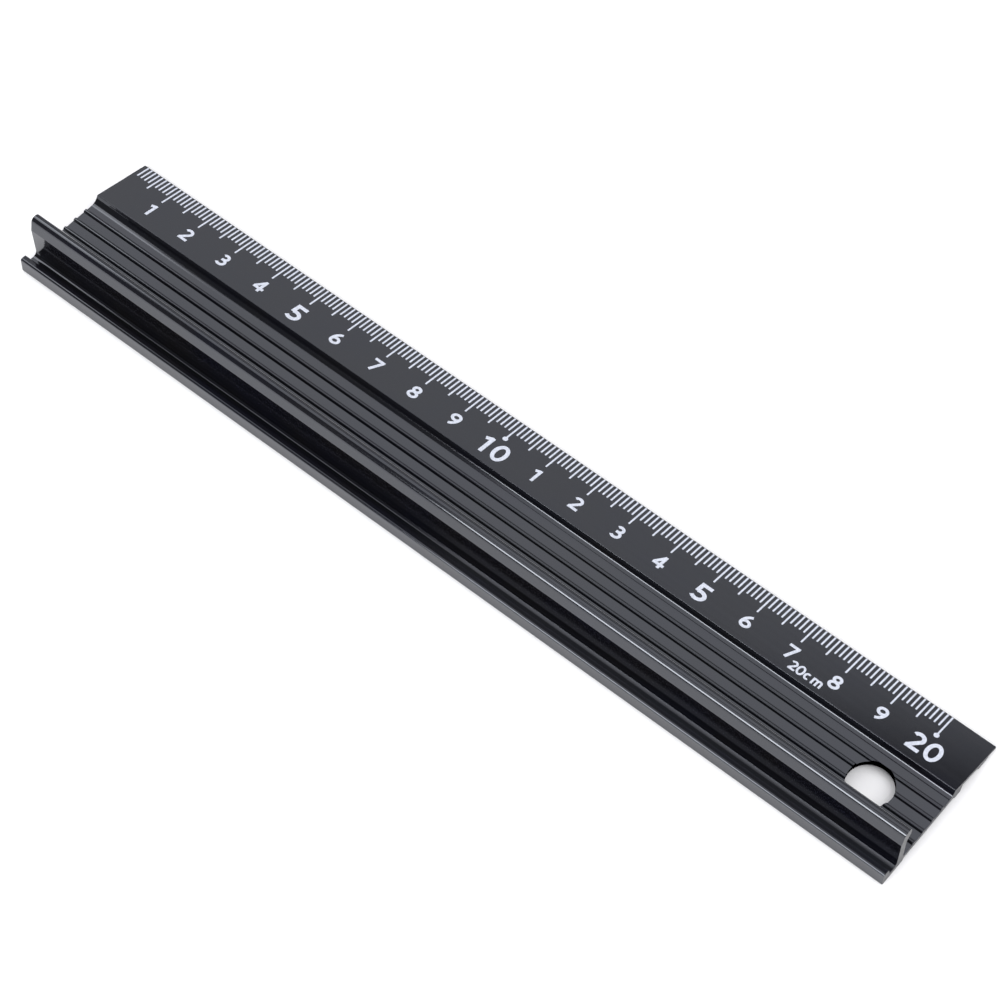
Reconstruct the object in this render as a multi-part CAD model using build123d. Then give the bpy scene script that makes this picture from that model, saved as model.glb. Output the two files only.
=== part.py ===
from build123d import *

import math
import os

# Guarded aluminium cutting ruler.
#
# Frame: X runs along the ruler from the zero end, Y from the cutting lip to the
# scale edge, Z up from the surface that the feet stand on. The origin is on that
# surface, in the middle of the ruler's length and width.
#
# The section is drawn with a, the distance in from the scale edge, and h, the
# height above the standing surface. Sizes are in millimetres.

# ---- overall ----
ruler_length = 209.5
ruler_width = 35.3
ruler_height = 12.2

# ---- scale face: a thin strip that falls to the scale edge ----
scale_tilt = 12.33              # degrees
scale_width = 13.55             # level distance, edge to step
edge_lift = 0.15                # underside of the scale edge above the ground
edge_thickness = 0.5
edge_radius = 0.08
scale_wall = 1.0                # thickness of the sloping strip over its hollow
step_radius = 0.15              # rounding of the step's top edge
step_lean = 0.84                # level run of the step's wall
step_scoop = 2.0                # hollow rounding from the wall into the plate

# ---- ribbed finger plate ----
plate_top = 2.0
plate_wall = 1.2
rib_width = 0.95                # each rib is half round
rib_pitch = 2.92
rib_count = 4
first_rib = 3.7                 # from the step to the first rib's middle

# ---- guard fin, with a beak along its top that points back over the plate ----
fin_wall = 1.75
fin_lean = 0.3                  # how far the fin leans out over the channel
fin_foot_radius = 0.6           # hollow rounding behind the fin
brow_depth = 3.1                # from the top down to where the front turns back
brow_setback = 0.6              # how far it turns back by the top
brow_radius = 1.5
beak_reach = 2.72               # from the brow to the beak's tip
beak_depth = 2.2                # from the beak's tip to the top
beak_front_share = 0.467        # of the beak's level top, taken up by its front rounding
beak_back_share = 0.52
beak_tip_radius = 0.2
beak_slope = 1.5                # rise from the fin's back to the beak's tip
beak_root_radius = 1.0

# ---- channel between fin and lip ----
channel_width = 2.5             # from the brow to the lip's top
channel_floor = 1.45
channel_radius = 1.1            # hollow rounding in front of the fin

# ---- cutting lip ----
lip_height = 3.75
lip_fall = 0.08                 # how much lower the lip's top is beside the channel
lip_top_width = 1.4
lip_slope = 0.75                # how much wider the lip is at the channel floor
lip_foot_radius = 0.4
lip_inner_radius = 0.35
lip_outer_radius = 0.45
lip_base_radius = 0.4

# ---- feet underneath ----
back_foot_start = 3.0
back_foot_width = 2.5
middle_foot_reach = 2.3         # from the step back to the middle foot's steep side
middle_foot_width = 1.75
front_foot_reach = 0.6          # how far the front foot runs back past the fin
foot_slope = 0.7                # level run of a foot's sloping side
foot_draft = 0.2                # the same for a foot's steep side
foot_radius = 0.1
edge_relief = 0.4               # rise of the underside before the back foot

# ---- hanging hole ----
hole_diameter = 9.1
hole_from_end = 12.6            # from the far end to the hole's middle
hole_from_step = 7.85           # from the step to the hole's middle

# ---- printed marks ----
ink_thickness = 0.05
zero_inset = 0.2                # from the near end to the scale's zero
graduations = 200               # millimetres on the scale
tick_width = 0.34
tick_start = 0.15               # bare metal between the scale edge and the ticks
millimetre_tick = 3.35
half_centimetre_tick = 4.75
centimetre_tick = 5.65
decade_dot = 1.1                # diameter
small_numeral = 3.5             # height
large_numeral = 4.6
numeral_start = 7.35            # from the scale edge to the numerals' tops
digit_pitch = 0.78              # middle to middle, as a share of the height
pen = 0.18                      # stroke width, as a share of the height
label_height = 2.4
label_start = 10.25             # from the scale edge to the label's top
label_middle = 174.9            # on the scale
label_pitches = (0.0, 0.68, 1.36, 2.24)

# ---- worked out from the above ----
tilt = math.radians(scale_tilt)
edge_top = edge_lift + edge_thickness
step_top = edge_top + scale_width * math.tan(tilt)
plate_under = plate_top - plate_wall
fin_front = ruler_width - lip_top_width - channel_width
fin_back = fin_front - fin_wall


def at(a, h):
    """Section point from the distance in from the scale edge and the height."""
    return (ruler_width / 2 - a, h)


def top_corners():
    """Corners along the top of the section, each with its rounding, from the scale
    edge to the lip."""
    beak_tip = fin_front - beak_reach
    beak_base = ruler_height - beak_depth
    beak_top = beak_reach - brow_setback
    front_turn = math.atan2(brow_depth, brow_setback)
    front_radius = beak_front_share * beak_top / math.tan(front_turn / 2)
    lip_inner = ruler_width - lip_top_width
    lip_foot = lip_inner - lip_slope
    return [
        (0, edge_lift, edge_radius),
        (0, edge_top, edge_radius),
        (scale_width, step_top, step_radius),
        (scale_width + step_lean, plate_top, step_scoop),
        (fin_back - fin_lean, plate_top, fin_foot_radius),
        (fin_back, beak_base - beak_slope, beak_root_radius),
        (beak_tip, beak_base, beak_tip_radius),
        (beak_tip, ruler_height, beak_back_share * beak_top),
        (fin_front - brow_setback, ruler_height, front_radius),
        (fin_front, ruler_height - brow_depth, brow_radius),
        (fin_front - fin_lean, channel_floor, channel_radius),
        (lip_foot, channel_floor, lip_foot_radius),
        (lip_inner, lip_height - lip_fall, lip_inner_radius),
        (ruler_width, lip_height, lip_outer_radius),
        (ruler_width, 0, lip_base_radius),
    ]


def scale_under(a):
    """Height of the underside of the sloping strip."""
    return edge_top + a * math.tan(tilt) - scale_wall / math.cos(tilt)


def under_corners():
    """Corners along the underside, each with its rounding, from the lip to the
    scale edge."""
    front_foot = fin_back - front_foot_reach
    middle_foot = scale_width - middle_foot_reach
    middle_foot_end = middle_foot + middle_foot_width
    back_foot_end = back_foot_start + back_foot_width
    hollow_start = back_foot_end + foot_slope
    hollow_end = middle_foot - foot_draft
    return [
        (front_foot, 0, foot_radius),
        (front_foot - foot_draft, plate_under, foot_radius),
        (middle_foot_end + foot_slope, plate_under, foot_radius),
        (middle_foot_end, 0, foot_radius),
        (middle_foot, 0, foot_radius),
        (hollow_end, scale_under(hollow_end), foot_radius),
        (hollow_start, scale_under(hollow_start), foot_radius),
        (back_foot_end, 0, foot_radius),
        (back_foot_start, 0, foot_radius),
        (back_foot_start - foot_slope, edge_lift + edge_relief, foot_radius),
    ]


def section():
    """The extrusion's section, ribs and all."""
    corners = top_corners() + under_corners()
    points = [at(a, h) for a, h, radius in corners]
    radii = [radius for a, h, radius in corners]
    outline = make_face(FilletPolyline(*points, radius=radii, close=True))
    for n in range(rib_count):
        rib = at(scale_width + first_rib + n * rib_pitch, plate_top)
        outline += Pos(*rib) * Circle(rib_width / 2)
    return outline


def ruler_body():
    """The extrusion, cut to length, with its hanging hole."""
    end = Plane((-ruler_length / 2, 0, 0), x_dir=(0, 1, 0), z_dir=(1, 0, 0))
    body = extrude(end * section(), ruler_length)
    hole_x = ruler_length / 2 - hole_from_end
    hole_y = ruler_width / 2 - scale_width - hole_from_step
    return body - Pos(hole_x, hole_y, 0) * Cylinder(hole_diameter / 2, 2 * ruler_height)


# ---- figures, drawn one unit high with their foot at 0 and their middle at x = 0 ----


def line(*points):
    """A straight or cornered pen stroke."""
    return trace(Polyline(*points) if len(points) > 2 else Line(*points), pen)


def bow(x, y, radius_x, radius_y, start, end):
    """A pen stroke round part of an ellipse."""
    turn = end - start
    return trace(EllipticalCenterArc((x, y), radius_x, radius_y, start, arc_size=turn), pen)


def ring(x, y, radius_x, radius_y):
    """A pen stroke right round an ellipse."""
    outside = Ellipse(radius_x + pen / 2, radius_y + pen / 2)
    return Pos(x, y) * (outside - Ellipse(radius_x - pen / 2, radius_y - pen / 2))


def nought():
    return ring(0, 0.5, 0.26, 0.43)


def one():
    return line((0.07, 0), (0.07, 1)) + line((-0.22, 0.8), (0.1, 0.94))


def two():
    bowl = bow(-0.03, 0.69, 0.23, 0.22, -40, 155)
    return bowl + line((0.15, 0.56), (-0.24, 0.08)) + line((-0.3, 0.0875), (0.32, 0.0875))


def three():
    bowls = bow(-0.04, 0.72, 0.2, 0.195, -95, 145) + bow(-0.04, 0.3, 0.25, 0.215, -145, 95)
    return bowls + line((-0.16, 0.52), (0.0, 0.52))


def four():
    return line((0.1, 0), (0.1, 1)) + line((0.1, 0.93), (-0.3, 0.3)) + line((-0.36, 0.28), (0.34, 0.28))


def five():
    top = line((-0.26, 0.9125), (0.27, 0.9125)) + line((-0.19, 1), (-0.22, 0.47))
    return top + bow(-0.05, 0.31, 0.28, 0.225, -145, 125)


def six():
    return ring(0, 0.3, 0.25, 0.215) + bow(0.35, 0.3, 0.6, 0.66, 110, 180)


def seven():
    return line((-0.33, 0.9125), (0.33, 0.9125)) + line((0.26, 0.93), (-0.1, 0))


def eight():
    return ring(0, 0.72, 0.2, 0.19) + ring(0, 0.29, 0.25, 0.205)


def nine():
    return ring(0, 0.7, 0.25, 0.215) + bow(-0.35, 0.7, 0.6, 0.66, 290, 360)


def letter_c():
    return bow(0, 0.36, 0.2, 0.275, 50, 310)


def letter_m():
    stems = line((-0.36, 0), (-0.36, 0.72)) + line((0, 0), (0, 0.45)) + line((0.36, 0), (0.36, 0.45))
    return stems + bow(-0.18, 0.45, 0.18, 0.185, 0, 180) + bow(0.18, 0.45, 0.18, 0.185, 0, 180)


figures = (nought, one, two, three, four, five, six, seven, eight, nine)


# ---- printed marks ----


def ink(sketch):
    """Ink on the scale face. The sketch's x runs along the scale, its y is minus the
    distance in from the scale edge."""
    zero = -ruler_length / 2 + zero_inset
    edge = (zero, ruler_width / 2, edge_top)
    slope = (0, math.sin(tilt), math.cos(tilt))
    return extrude(Plane(edge, x_dir=(1, 0, 0), z_dir=slope) * sketch, ink_thickness)


def tick(millimetre, length):
    """One line of the scale."""
    return Pos(millimetre, -tick_start - length / 2) * Rectangle(tick_width, length)


def ticks(millimetres, length):
    """Several lines of one length."""
    return Sketch() + [tick(millimetre, length) for millimetre in millimetres]


def decade_marks(millimetres):
    """Centimetre lines that each end in a round dot."""
    dots = [
        Pos(millimetre, -tick_start - centimetre_tick) * Circle(decade_dot / 2)
        for millimetre in millimetres
    ]
    return ticks(millimetres, centimetre_tick) + dots


def numeral(centimetre):
    """The figures printed under a centimetre line: its last digit, or both digits in
    full at each ten. Fives and tens are larger."""
    height = small_numeral if centimetre % 5 else large_numeral
    if centimetre % 10:
        drawn = figures[centimetre % 10]()
    else:
        left = Pos(-digit_pitch / 2, 0) * figures[centimetre // 10]()
        drawn = left + Pos(digit_pitch / 2, 0) * figures[0]()
    return Pos(10 * centimetre, -numeral_start - height) * scale(drawn, height)


def size_label():
    """The scale's length, 20 cm, printed small."""
    glyphs = (two, nought, letter_c, letter_m)
    middle = (label_pitches[0] + label_pitches[-1]) / 2
    drawn = Sketch() + [
        Pos(pitch - middle, 0) * glyph() for pitch, glyph in zip(label_pitches, glyphs)
    ]
    return Pos(label_middle, -label_start - label_height) * scale(drawn, label_height)


marked = range(1, graduations + 1)
tens = [mm for mm in marked if mm % 100 == 0]
centimetres = [mm for mm in marked if mm % 10 == 0 and mm not in tens]
halves = [mm for mm in marked if mm % 10 == 5]
millimetres = [mm for mm in marked if mm % 5]

parts = {
    "ruler_body": ruler_body(),
    "millimetre_ticks": ink(ticks(millimetres, millimetre_tick)),
    "half_centimetre_ticks": ink(ticks(halves, half_centimetre_tick)),
    "centimetre_ticks": ink(ticks(centimetres, centimetre_tick)),
    "decade_marks": ink(decade_marks(tens)),
    "size_label": ink(size_label()),
}
for centimetre in range(1, graduations // 10 + 1):
    parts[f"numeral_{centimetre:02d}"] = ink(numeral(centimetre))

os.makedirs("parts", exist_ok=True)
for node, shape in parts.items():
    export_step(shape, f"parts/{node}.step")
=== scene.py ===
import math

import bpy
import numpy as np
from mathutils import Matrix, Vector


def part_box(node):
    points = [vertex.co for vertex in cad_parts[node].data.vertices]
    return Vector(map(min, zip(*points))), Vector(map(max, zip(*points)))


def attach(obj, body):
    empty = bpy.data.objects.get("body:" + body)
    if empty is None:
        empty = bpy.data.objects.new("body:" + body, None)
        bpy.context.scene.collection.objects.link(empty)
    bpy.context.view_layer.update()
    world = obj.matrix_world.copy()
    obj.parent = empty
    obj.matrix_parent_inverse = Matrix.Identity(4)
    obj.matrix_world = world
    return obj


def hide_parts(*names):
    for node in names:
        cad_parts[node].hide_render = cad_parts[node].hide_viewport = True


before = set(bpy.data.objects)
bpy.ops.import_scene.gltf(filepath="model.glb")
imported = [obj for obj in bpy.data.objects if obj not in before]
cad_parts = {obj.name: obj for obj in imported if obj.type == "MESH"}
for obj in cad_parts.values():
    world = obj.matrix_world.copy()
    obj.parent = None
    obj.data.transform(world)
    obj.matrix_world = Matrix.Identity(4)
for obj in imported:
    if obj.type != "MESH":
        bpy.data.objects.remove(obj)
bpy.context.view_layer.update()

# A guarded aluminium cutting ruler. The body is one extrusion, worked out here from its
# section. The printed marks are the frame's own pieces with an ink finish.
#
# The section is drawn in millimetres with a, the distance in from the scale edge, and
# h, the height above the floor.

MM = 0.001
BODY_LOW, BODY_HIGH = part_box("ruler_body")
LENGTH = (BODY_HIGH.x - BODY_LOW.x) / MM
WIDTH = (BODY_HIGH.y - BODY_LOW.y) / MM
HEIGHT = BODY_HIGH.z / MM

# ---- scale face: a thin strip that falls to the scale edge ----
SCALE_TILT = math.radians(12.33)
SCALE_WIDTH = 13.55             # level distance, edge to step
SCALE_WALL = 1.0                # thickness of the sloping strip over its hollow
EDGE_LIFT = 0.15                # underside of the scale edge above the floor
EDGE_THICKNESS = 0.5
EDGE_TOP = EDGE_LIFT + EDGE_THICKNESS
EDGE_RADIUS = 0.08
STEP_TOP = EDGE_TOP + SCALE_WIDTH * math.tan(SCALE_TILT)
STEP_RADIUS = 0.15
STEP_LEAN = 0.84                # level run of the step's wall
STEP_SCOOP = 2.0                # hollow rounding from the wall into the plate

# ---- ribbed finger plate ----
PLATE_TOP = 2.0
PLATE_WALL = 1.2
PLATE_UNDER = PLATE_TOP - PLATE_WALL
RIB_WIDTH = 0.95                # each rib is half round
RIB_PITCH = 2.92
RIB_COUNT = 4
RIB_FROM_STEP = 3.7             # from the step to the first rib's middle

# ---- cutting lip ----
LIP_HEIGHT = 3.75
LIP_FALL = 0.08                 # how much lower its top is beside the channel
LIP_TOP_WIDTH = 1.4
LIP_SLOPE = 0.75                # how much wider it is at the channel floor
LIP_INNER = WIDTH - LIP_TOP_WIDTH
LIP_FOOT_RADIUS = 0.4
LIP_INNER_RADIUS = 0.35
LIP_OUTER_RADIUS = 0.45
LIP_BASE_RADIUS = 0.4

# ---- channel between fin and lip ----
CHANNEL_WIDTH = 2.5             # from the brow to the lip's top
CHANNEL_FLOOR = 1.45
CHANNEL_RADIUS = 1.1            # hollow rounding in front of the fin

# ---- guard fin, with a beak along its top that points back over the plate ----
FIN_WALL = 1.75
FIN_LEAN = 0.3                  # how far the fin leans out over the channel
FIN_FRONT = LIP_INNER - CHANNEL_WIDTH
FIN_BACK = FIN_FRONT - FIN_WALL
FIN_FOOT_RADIUS = 0.6
BROW_DEPTH = 3.1                # from the top down to where the front turns back
BROW_SETBACK = 0.6              # how far it turns back by the top
BROW_RADIUS = 1.5
BEAK_REACH = 2.72               # from the brow to the beak's tip
BEAK_DEPTH = 2.2                # from the beak's tip to the top
BEAK_SLOPE = 1.5                # rise from the fin's back to the beak's tip
BEAK_TIP = FIN_FRONT - BEAK_REACH
BEAK_BASE = HEIGHT - BEAK_DEPTH
BEAK_TIP_RADIUS = 0.2
BEAK_ROOT_RADIUS = 1.0
BEAK_TOP = BEAK_REACH - BROW_SETBACK
BEAK_BACK_SHARE = 0.52          # of the beak's level top, taken up by its back rounding
BEAK_FRONT_SHARE = 0.467
FRONT_TURN = math.atan2(BROW_DEPTH, BROW_SETBACK)
BEAK_BACK_RADIUS = BEAK_BACK_SHARE * BEAK_TOP
BEAK_FRONT_RADIUS = BEAK_FRONT_SHARE * BEAK_TOP / math.tan(FRONT_TURN / 2)

# ---- feet underneath ----
BACK_FOOT_START = 3.0
BACK_FOOT_WIDTH = 2.5
MIDDLE_FOOT_REACH = 2.3         # from the step back to the middle foot's steep side
MIDDLE_FOOT_WIDTH = 1.75
FRONT_FOOT_REACH = 0.6          # how far the front foot runs back past the fin
FOOT_SLOPE = 0.7                # level run of a foot's sloping side
FOOT_DRAFT = 0.2                # the same for a foot's steep side
FOOT_RADIUS = 0.1
EDGE_RELIEF = 0.4               # rise of the underside before the back foot

# ---- hanging hole ----
HOLE_RADIUS = 4.55
HOLE_FROM_END = 12.6
HOLE_FROM_STEP = 7.85
HOLE_X = LENGTH / 2 - HOLE_FROM_END
HOLE_A = SCALE_WIDTH + HOLE_FROM_STEP

# ---- mesh ----
END_BREAK = 0.06                # tiny bevel left by deburring the cut ends
ARC_STEP = math.radians(5)      # turn between the points of a rounding
HOLE_STEPS = 128                # outline points across the hole
HOLE_MARGIN = 1.0               # from the hole to the stations beside it
NEAR_STATIONS = 19              # along X, from the zero end to the hole
FAR_STATIONS = 3                # from the hole to the far end
SLACK = 0.01                    # how near two lengths count as the same
TINY = 1e-6
PLATE_HEIGHTS = (PLATE_TOP - SLACK, PLATE_TOP + RIB_WIDTH)
UNDER_HEIGHTS = (PLATE_UNDER - SLACK, PLATE_UNDER + SLACK)

# ---- finishes: reliefs in metres ----
ALUMINA_IOR = 1.7
ANODISED_TINT = (0.86, 0.905, 1, 1)
DIE_LINE_RELIEF = 1e-6
GRAIN_RELIEF = 3e-7
SAWN_IOR = 1.5
SAW_LINE_RELIEF = 4e-6
INK_RELIEF = 6e-6

# ---- room ----
ROOM_LIGHT = 0.12               # what the room gives
BACKDROP_LIGHT = 1.1            # how bright the camera sees it
ROOM_COLOUR = (0.93, 0.94, 1.0, 1)
COOL = (0.98, 0.975, 1.0)
FLOOR_REACH = 1.0               # metres

# ---- camera: metres, and millimetres for the lens and its frame ----
CAMERA_AZIMUTH = math.radians(38.296)
CAMERA_ELEVATION = math.radians(56.288)
CAMERA_ROLL = math.radians(1.61)
CAMERA_AIM = Vector((0.00359, 0.00056, 0.0018))
CAMERA_DISTANCE = 0.53067
CAMERA_LENS = 101.5
CAMERA_FRAME = 36
CAMERA_CLIP = (0.01, 20)


# ================= section =================


def scale_under(a):
    """Height of the underside of the sloping strip at a."""
    return EDGE_TOP + a * math.tan(SCALE_TILT) - SCALE_WALL / math.cos(SCALE_TILT)


def rib_corners(n):
    """A half-round rib, as a box half as high as it is wide with both top corners
    rounded by half its width."""
    half = RIB_WIDTH / 2
    middle = SCALE_WIDTH + RIB_FROM_STEP + n * RIB_PITCH
    left, right = middle - half, middle + half
    top = PLATE_TOP + half
    return [(left, PLATE_TOP, 0), (left, top, half), (right, top, half), (right, PLATE_TOP, 0)]


def section_corners():
    """The section's corners (a, h, rounding), going over the top from the scale edge to
    the lip and back underneath."""
    ribs = [corner for n in range(RIB_COUNT) for corner in rib_corners(n)]
    back_foot_end = BACK_FOOT_START + BACK_FOOT_WIDTH
    middle_foot_start = SCALE_WIDTH - MIDDLE_FOOT_REACH
    middle_foot_end = middle_foot_start + MIDDLE_FOOT_WIDTH
    front_foot_start = FIN_BACK - FRONT_FOOT_REACH
    hollow_start, hollow_end = back_foot_end + FOOT_SLOPE, middle_foot_start - FOOT_DRAFT
    return [
        (0, EDGE_LIFT, EDGE_RADIUS),
        (0, EDGE_TOP, EDGE_RADIUS),
        (SCALE_WIDTH, STEP_TOP, STEP_RADIUS),
        (SCALE_WIDTH + STEP_LEAN, PLATE_TOP, STEP_SCOOP),
        *ribs,
        (FIN_BACK - FIN_LEAN, PLATE_TOP, FIN_FOOT_RADIUS),
        (FIN_BACK, BEAK_BASE - BEAK_SLOPE, BEAK_ROOT_RADIUS),
        (BEAK_TIP, BEAK_BASE, BEAK_TIP_RADIUS),
        (BEAK_TIP, HEIGHT, BEAK_BACK_RADIUS),
        (FIN_FRONT - BROW_SETBACK, HEIGHT, BEAK_FRONT_RADIUS),
        (FIN_FRONT, HEIGHT - BROW_DEPTH, BROW_RADIUS),
        (FIN_FRONT - FIN_LEAN, CHANNEL_FLOOR, CHANNEL_RADIUS),
        (LIP_INNER - LIP_SLOPE, CHANNEL_FLOOR, LIP_FOOT_RADIUS),
        (LIP_INNER, LIP_HEIGHT - LIP_FALL, LIP_INNER_RADIUS),
        (WIDTH, LIP_HEIGHT, LIP_OUTER_RADIUS),
        (WIDTH, 0, LIP_BASE_RADIUS),
        (front_foot_start, 0, FOOT_RADIUS),
        (front_foot_start - FOOT_DRAFT, PLATE_UNDER, FOOT_RADIUS),
        (middle_foot_end + FOOT_SLOPE, PLATE_UNDER, FOOT_RADIUS),
        (middle_foot_end, 0, FOOT_RADIUS),
        (middle_foot_start, 0, FOOT_RADIUS),
        (hollow_end, scale_under(hollow_end), FOOT_RADIUS),
        (hollow_start, scale_under(hollow_start), FOOT_RADIUS),
        (back_foot_end, 0, FOOT_RADIUS),
        (BACK_FOOT_START, 0, FOOT_RADIUS),
        (BACK_FOOT_START - FOOT_SLOPE, EDGE_LIFT + EDGE_RELIEF, FOOT_RADIUS),
    ]


def rounded_outline(corners):
    """A closed outline with its corners rounded, and its outward normals.

    At a corner P between unit directions u and v towards its neighbours, which part by
    the angle w, a rounding of radius r starts r / tan(w/2) along each side, and its
    centre lies r / sin(w/2) from P along u + v. Points turn about the centre in equal
    steps. Returns points, the normal of the run that ends at each, and the normal of
    the run that starts there, which differ only at a sharp corner."""
    spots = np.array([corner[:2] for corner in corners], float)
    radii = np.array([corner[2] for corner in corners], float)
    to_last = np.roll(spots, 1, 0) - spots
    to_next = np.roll(spots, -1, 0) - spots
    to_last /= np.linalg.norm(to_last, axis=1)[:, None]
    to_next /= np.linalg.norm(to_next, axis=1)[:, None]
    points, ending, starting = [], [], []
    for spot, radius, u, v in zip(spots, radii, to_last, to_next):
        before = np.array([u[1], -u[0]])
        after = np.array([-v[1], v[0]])
        if radius == 0:
            points.append(spot[None])
            ending.append(before[None])
            starting.append(after[None])
            continue
        half = math.acos(np.clip(u @ v, -1, 1)) / 2
        middle = (u + v) / np.linalg.norm(u + v)
        centre = spot + middle * radius / math.sin(half)
        turn = math.pi - 2 * half
        steps = max(2, math.ceil(turn / ARC_STEP))
        t = np.linspace(0, 1, steps + 1)[:, None]
        normals = (np.sin((1 - t) * turn) * before + np.sin(t * turn) * after) / math.sin(turn)
        side = np.sign(before @ -middle)
        points.append(centre + side * radius * normals)
        ending.append(normals)
        starting.append(normals)
    return np.concatenate(points), np.concatenate(ending), np.concatenate(starting)


def closed_up(points, ending, starting):
    """The outline with repeated points merged, keeping both outer normals."""
    repeat = np.linalg.norm(points - np.roll(points, 1, 0), axis=1) < TINY
    first = np.roll(repeat, -1)
    starting[first] = starting[repeat]
    return points[~repeat], ending[~repeat], starting[~repeat]


def with_cuts(outline, run, cuts):
    """The outline with more points on one run of it, where a takes the values in cuts.
    Places are read off as fractions of an index along the run, so new points lie on the
    old straight pieces and their normals turn evenly from one old point to the next."""
    points, ending, starting = outline
    order = run if points[run[0], 0] < points[run[-1], 0] else run[::-1]
    places = np.interp(cuts, points[order, 0], order.astype(float))
    count = len(points)
    places = np.union1d(np.arange(count), np.round(places, 9))
    low = np.floor(places).astype(int)
    share = (places - low)[:, None]
    high = (low + 1) % count
    normals = (1 - share) * starting[low] + share * ending[high]
    normals /= np.linalg.norm(normals, axis=1)[:, None]
    new = share[:, 0] > 0
    spots = (1 - share) * points[low] + share * points[high]
    return (
        spots,
        np.where(new[:, None], normals, ending[low]),
        np.where(new[:, None], normals, starting[low]),
    )


def points_between(points, start, end, heights):
    """Indices of the outline points with a between start and end, and h within heights."""
    a, h = points.T
    return np.flatnonzero((a > start) & (a < end) & (h >= heights[0]) & (h <= heights[1]))


def points_at_hole(points, heights):
    """Indices of the outline points across the hole, with h within heights."""
    reach = HOLE_RADIUS + TINY
    return points_between(points, HOLE_A - reach, HOLE_A + reach, heights)


def body_outline():
    """The section's outline, with the same values of a above and below the hole. They
    are HOLE_A - R cos(t) for equal steps of t, so that the hole's rim is evenly round."""
    outline = closed_up(*rounded_outline(section_corners()))
    turns = np.linspace(0, math.pi, HOLE_STEPS + 1)
    plate = points_between(outline[0], SCALE_WIDTH + STEP_SCOOP, BEAK_TIP, PLATE_HEIGHTS)
    outline = with_cuts(outline, plate, HOLE_A - HOLE_RADIUS * np.cos(turns))
    over = points_at_hole(outline[0], PLATE_HEIGHTS)
    under = points_between(outline[0], SCALE_WIDTH, FIN_BACK, UNDER_HEIGHTS)
    return with_cuts(outline, under, outline[0][over, 0])


# ================= body =================


class Skin:
    """Faces, gathered with a normal for each of their corners."""

    def __init__(self):
        self.faces, self.normals = [], []

    def add(self, corners, normals):
        """Adds four-sided faces: four arrays of vertex numbers and four of normals."""
        self.faces.extend(np.stack(corners, 1).tolist())
        self.normals.append(np.stack(normals, 1).reshape(-1, 3))

    def add_one(self, corners, normals):
        """Adds one face with any number of corners."""
        self.faces.append(list(corners))
        self.normals.append(np.array(normals))


def placed(x, a, h):
    """Points at x along the ruler and (a, h) in its section, in the ruler's frame."""
    return np.stack([x + 0 * a, WIDTH / 2 - a + 0 * x, h + 0 * x], -1).reshape(-1, 3)


def outward(pairs):
    """Directions in the section as directions in the ruler's frame."""
    return np.stack([0 * pairs[:, 0], -pairs[:, 0], pairs[:, 1]], 1)


def hole_reach(a):
    """Half the hole's chord along X, sqrt(R^2 - d^2) at a distance d from its middle."""
    return np.sqrt(np.maximum(HOLE_RADIUS**2 - (a - HOLE_A) ** 2, 0))


def add_hole_wall(skin, a, over, under, rim_near, rim_far):
    """The hole's wall, half on the near rim and half on the far one. Each joins the rim
    over the plate to the rim under it, and its normals point to the hole's middle."""
    over, under = over[np.argsort(a[over])], under[np.argsort(a[under])]
    for side, rim in ((-1, rim_near), (1, rim_far)):
        reach = side * hole_reach(a[over])
        inward = -np.stack([reach, HOLE_A - a[over], 0 * reach], 1) / HOLE_RADIUS
        up, down = rim[over], rim[under]
        corners = [up[:-1], up[1:], down[1:], down[:-1]]
        first, last = inward[:-1], inward[1:]
        skin.add(corners if side > 0 else corners[::-1], [first, last, last, first])


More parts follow.
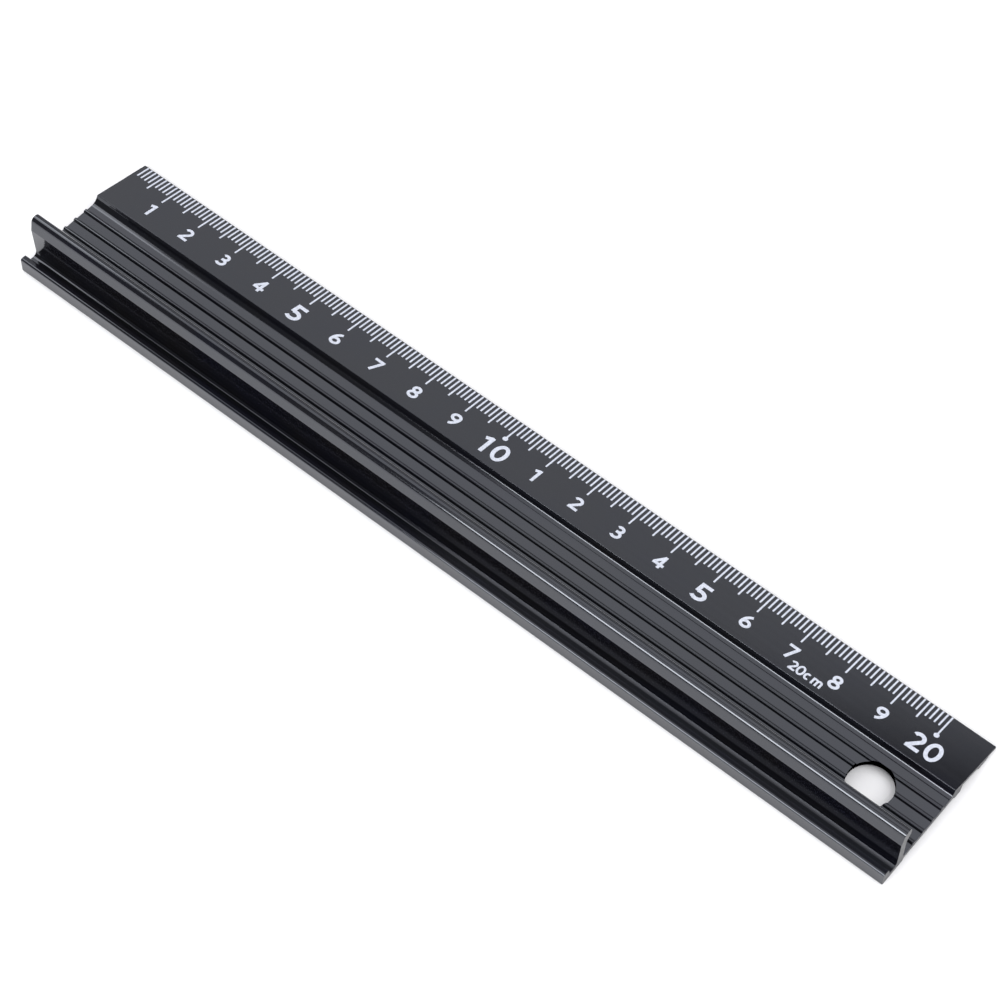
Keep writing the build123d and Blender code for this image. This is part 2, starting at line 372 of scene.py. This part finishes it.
def ruler_body_mesh():
    """The extrusion as a mesh, with exact normals.

    Vertex (i, k) is outline point i carried to station k along X. Between the two
    stations beside the hole, an outline point at distance d across from the hole's
    middle stops at HOLE_X - sqrt(R^2 - d^2) and starts again at HOLE_X + sqrt(R^2 - d^2).
    At each end the outline shrinks by END_BREAK over the last END_BREAK of length."""
    points, ending, starting = body_outline()
    a, h = points.T
    half, clear = LENGTH / 2, HOLE_RADIUS + HOLE_MARGIN
    stations = np.concatenate([
        np.linspace(END_BREAK - half, HOLE_X - clear, NEAR_STATIONS),
        np.linspace(HOLE_X + clear, half - END_BREAK, FAR_STATIONS),
    ])
    over, under = points_at_hole(points, PLATE_HEIGHTS), points_at_hole(points, UNDER_HEIGHTS)
    rim = np.union1d(over, under)
    reach = hole_reach(a[rim])
    mitre = (ending + starting) / (1 + (ending * starting).sum(1))[:, None]
    inner = points - END_BREAK * mitre
    vertices = np.concatenate([
        placed(stations[None, :], a[:, None], h[:, None]),
        placed(np.full(len(a), -half), *inner.T),
        placed(np.full(len(a), half), *inner.T),
        placed(HOLE_X - reach, a[rim], h[rim]),
        placed(HOLE_X + reach, a[rim], h[rim]),
    ])

    # vertex numbers, where step i of the outline goes from point i to point j[i]
    n, m = len(points), len(stations)
    grid = np.arange(n * m).reshape(n, m)
    i = np.arange(n)
    j = (i + 1) % n
    near_end = n * m + i
    far_end = near_end + n
    rim_near, rim_far = np.full(n, -1), np.full(n, -1)
    rim_near[rim] = n * m + 2 * n + np.arange(len(rim))
    rim_far[rim] = rim_near[rim] + len(rim)
    tip = np.isin(i, rim[reach < SLACK])
    rim_far[tip] = rim_near[tip]

    first, last = outward(starting), outward(ending)[j]
    skin = Skin()

    def add_strip(steps, *corners):
        """Faces over some steps of the outline, from one row of points to the next."""
        skin.add(corners, [first[steps], last[steps], last[steps], first[steps]])

    # long runs, between every two stations but those beside the hole
    gap = NEAR_STATIONS - 1
    spans = np.delete(np.arange(m - 1), gap)
    p, k = (side.ravel() for side in np.meshgrid(i, spans, indexing="ij"))
    add_strip(p, grid[p, k], grid[j[p], k], grid[j[p], k + 1], grid[p, k + 1])

    # from the stations to the hole, and past it where the hole doesn't reach
    here, there = grid[:, gap], grid[:, gap + 1]
    holed = (rim_near >= 0) & (rim_near[j] >= 0) & (np.abs(j - i) == 1)
    p, q = i[holed], j[holed]
    add_strip(p, here[p], here[q], rim_near[q], rim_near[p])
    add_strip(p, rim_far[p], rim_far[q], there[q], there[p])
    touching = tip | tip[j]
    p, q = i[~holed & ~touching], j[~holed & ~touching]
    add_strip(p, here[p], here[q], there[q], there[p])
    for p in i[~holed & touching]:
        q = j[p]
        on_p = [rim_near[p]] if tip[p] else []
        on_q = [rim_near[q]] if tip[q] else []
        corners = [here[p], here[q], *on_q, there[q], there[p], *on_p]
        at_q, at_p = [last[p]] * (len(on_q) + 2), [first[p]] * (len(on_p) + 1)
        skin.add_one(corners, [first[p], *at_q, *at_p])
    add_hole_wall(skin, a, over, under, rim_near, rim_far)

    # broken edges and faces of the cut ends
    back, front = np.tile([-1.0, 0, 0], (n, 1)), np.tile([1.0, 0, 0], (n, 1))
    skin.add([near_end, near_end[j], grid[j, 0], grid[:, 0]], [back, back, last, first])
    skin.add([grid[:, -1], grid[j, -1], far_end[j], far_end], [first, last, front, front])
    skin.add_one(near_end[::-1], back)
    skin.add_one(far_end, front)

    mesh = bpy.data.meshes.new("ruler_extrusion")
    mesh.from_pydata((vertices * MM).tolist(), [], skin.faces)
    mesh.normals_split_custom_set(np.concatenate(skin.normals).tolist())
    sawn = np.zeros(len(skin.faces), np.int32)
    sawn[-2:] = 1
    mesh.polygons.foreach_set("material_index", sawn)
    return mesh


# ================= finishes =================


def feed(node, inputs):
    """Links a node's inputs to other nodes' outputs, or sets them to plain values."""
    for key, value in inputs.items():
        if isinstance(value, bpy.types.NodeSocket):
            node.id_data.links.new(value, node.inputs[key])
        else:
            node.inputs[key].default_value = value


def add(tree, kind, inputs, **settings):
    """A new node with its settings and inputs."""
    node = tree.nodes.new(kind)
    for key, value in settings.items():
        setattr(node, key, value)
    feed(node, inputs)
    return node


def noise(tree, cells, detail, roughness):
    """Noise from 0 to 1, with so many cells to the metre along X, Y and Z."""
    place = add(tree, "ShaderNodeTexCoord", {}).outputs["Object"]
    stretched = add(tree, "ShaderNodeMapping", {"Vector": place, "Scale": cells}).outputs["Vector"]
    inputs = {"Vector": stretched, "Scale": 1.0, "Detail": detail, "Roughness": roughness}
    return add(tree, "ShaderNodeTexNoise", inputs).outputs["Fac"]


def ranged(tree, value, old, new):
    """value moved from the range old to the range new, and held at both ends."""
    given = {"Value": value, "From Min": old[0], "From Max": old[1]}
    inputs = {**given, "To Min": new[0], "To Max": new[1]}
    return add(tree, "ShaderNodeMapRange", inputs).outputs["Result"]


def blended(tree, share, first, second):
    """A colour between first and second. A colour mix has its inputs at 0, 6 and 7."""
    return add(tree, "ShaderNodeMix", {0: share, 6: first, 7: second}, data_type="RGBA").outputs[2]


def bumped(tree, height, metres, **under):
    """Normals of a relief that is so many metres high, over another where one is given."""
    inputs = {"Height": height, "Distance": metres, "Strength": 1.0, **under}
    return add(tree, "ShaderNodeBump", inputs).outputs["Normal"]


def finish(name, make):
    """A material whose shader takes the inputs that make works out."""
    material = bpy.data.materials.new(name)
    material.use_nodes = True
    tree = material.node_tree
    feed(tree.nodes["Principled BSDF"], make(tree))
    return material


def black_anodised(tree):
    """Satin black anodising: die lines along the extrusion, a faint grain, and cloudy
    shifts between a warmer and a cooler black."""
    clouds = noise(tree, (60, 90, 90), 3.0, 0.6)
    lines = noise(tree, (6, 4200, 4200), 3.0, 0.65)
    grain = noise(tree, (9000, 9000, 9000), 2.0, 0.5)
    cool, warm = (0.0036, 0.0038, 0.0064, 1), (0.0048, 0.0046, 0.0054, 1)
    return {
        "Base Color": blended(tree, ranged(tree, clouds, (0.35, 0.65), (0, 1)), cool, warm),
        "Roughness": ranged(tree, lines, (0.3, 0.7), (0.07, 0.12)),
        "Normal": bumped(tree, grain, GRAIN_RELIEF, Normal=bumped(tree, lines, DIE_LINE_RELIEF)),
        "IOR": ALUMINA_IOR,
        "Specular Tint": ANODISED_TINT,
    }


def sawn_end(tree):
    """The cut ends: fine saw lines across the section, a little duller and greyer."""
    lines = noise(tree, (300, 900, 9000), 2.0, 0.6)
    dark, pale = (0.016, 0.016, 0.018, 1), (0.035, 0.035, 0.037, 1)
    return {
        "Base Color": blended(tree, ranged(tree, lines, (0.3, 0.7), (0, 1)), dark, pale),
        "Roughness": ranged(tree, lines, (0.3, 0.7), (0.32, 0.45)),
        "Normal": bumped(tree, lines, SAW_LINE_RELIEF),
        "IOR": SAWN_IOR,
    }


def white_ink(tree):
    """Screen-printed ink, cool white, a little thin and uneven."""
    cover = noise(tree, (2600, 2600, 2600), 3.0, 0.6)
    thin, full = (0.50, 0.53, 0.61, 1), (0.63, 0.66, 0.75, 1)
    return {
        "Base Color": blended(tree, ranged(tree, cover, (0.38, 0.62), (0, 1)), thin, full),
        "Roughness": ranged(tree, cover, (0.3, 0.7), (0.6, 0.45)),
        "Normal": bumped(tree, cover, INK_RELIEF),
    }


def floor_paint(tree):
    """Plain pale matte board."""
    mottle = noise(tree, (40, 40, 40), 2.0, 0.5)
    return {
        "Base Color": blended(tree, mottle, (0.86, 0.86, 0.87, 1), (0.88, 0.88, 0.89, 1)),
        "Roughness": 0.9,
        "Specular IOR Level": 0.1,
    }


# ================= object =================


def shown(name, mesh, *materials):
    """An object at the origin that carries the mesh and its finishes."""
    piece = bpy.data.objects.new(name, mesh)
    bpy.context.scene.collection.objects.link(piece)
    for material in materials:
        mesh.materials.append(material)
    return piece


anodised = finish("black_anodised", black_anodised)
sawn = finish("sawn_end", sawn_end)
body = shown("ruler_extrusion", ruler_body_mesh(), anodised, sawn)
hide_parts("ruler_body")
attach(body, "root")

ink = finish("white_ink", white_ink)
for name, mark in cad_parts.items():
    if name != "ruler_body":
        mark.data.materials.clear()
        mark.data.materials.append(ink)


# ================= floor, light and camera =================


def direction(azimuth, elevation):
    """Unit vector towards a place seen from the ruler. Azimuth 0 is in front, at -Y, and
    turns towards +X."""
    level = math.cos(elevation)
    return Vector((math.sin(azimuth) * level, -math.cos(azimuth) * level, math.sin(elevation)))


def placed_at(name, data, spot, turned):
    """An object for a lamp or a camera, at its spot and turned as given."""
    item = bpy.data.objects.new(name, data)
    bpy.context.scene.collection.objects.link(item)
    item.location = spot
    item.rotation_mode = "QUATERNION"
    item.rotation_quaternion = turned
    return item


def floor():
    """A flat board under the ruler, as large as the lamps light evenly."""
    signs = [(-1, -1), (1, -1), (1, 1), (-1, 1)]
    corners = [(FLOOR_REACH * x, FLOOR_REACH * y, 0) for x, y in signs]
    mesh = bpy.data.meshes.new("floor")
    mesh.from_pydata(corners, [], [(0, 1, 2, 3)])
    return shown("floor", mesh, finish("pale_floor", floor_paint))


def soft_light(name, azimuth, elevation, distance, size, watts, colour=(1, 1, 1)):
    """A rectangular softbox that faces the ruler, with angles in degrees and lengths in
    metres."""
    light = bpy.data.lights.new(name, "AREA")
    light.shape = "RECTANGLE"
    light.size, light.size_y = size
    light.energy = watts
    light.color = colour
    back = direction(math.radians(azimuth), math.radians(elevation))
    lamp = placed_at(name, light, back * distance, (-back).to_track_quat("-Z", "Y"))
    lamp.visible_camera = False


def camera():
    """The camera, by its aim, direction, distance and roll."""
    data = bpy.data.cameras.new("camera")
    data.lens = CAMERA_LENS
    data.sensor_width = CAMERA_FRAME
    data.clip_start, data.clip_end = CAMERA_CLIP
    back = direction(CAMERA_AZIMUTH, CAMERA_ELEVATION)
    upright = (-back).to_track_quat("-Z", "Y").to_matrix()
    turned = (upright @ Matrix.Rotation(CAMERA_ROLL, 3, "Z")).to_quaternion()
    return placed_at("camera", data, CAMERA_AIM + back * CAMERA_DISTANCE, turned)


def studio():
    """A dim room with softboxes. The level and sloping faces mirror the two behind, the
    rounded edges mirror the strip in front, and the two at the sides light the floor.
    The room gives little light but is seen as a pale backdrop."""
    world = bpy.data.worlds.new("studio")
    world.use_nodes = True
    tree = world.node_tree
    seen = add(tree, "ShaderNodeLightPath", {}).outputs["Is Camera Ray"]
    strength = ranged(tree, seen, (0, 1), (ROOM_LIGHT, BACKDROP_LIGHT))
    feed(tree.nodes["Background"], {"Color": ROOM_COLOUR, "Strength": strength})
    bpy.context.scene.world = world
    # azimuth, elevation, distance, size and watts of each
    soft_light("back_softbox", 200, 70, 1.2, (1.4, 0.9), 5.1, COOL)
    soft_light("low_back_softbox", 205, 28, 1.5, (1.6, 0.5), 2.0, COOL)
    soft_light("front_softbox", 2, 58, 1.2, (0.95, 0.9), 3.4, COOL)
    soft_light("front_strip", 3.5, 29.5, 1.2, (1.05, 0.45), 15.5)
    soft_light("right_softbox", 95, 50, 1.3, (1.1, 1.1), 9.5)
    soft_light("left_softbox", -92, 42, 1.4, (0.8, 0.8), 5.5)
    bpy.context.scene.view_settings.view_transform = "Standard"


floor()
studio()
bpy.context.scene.camera = camera()
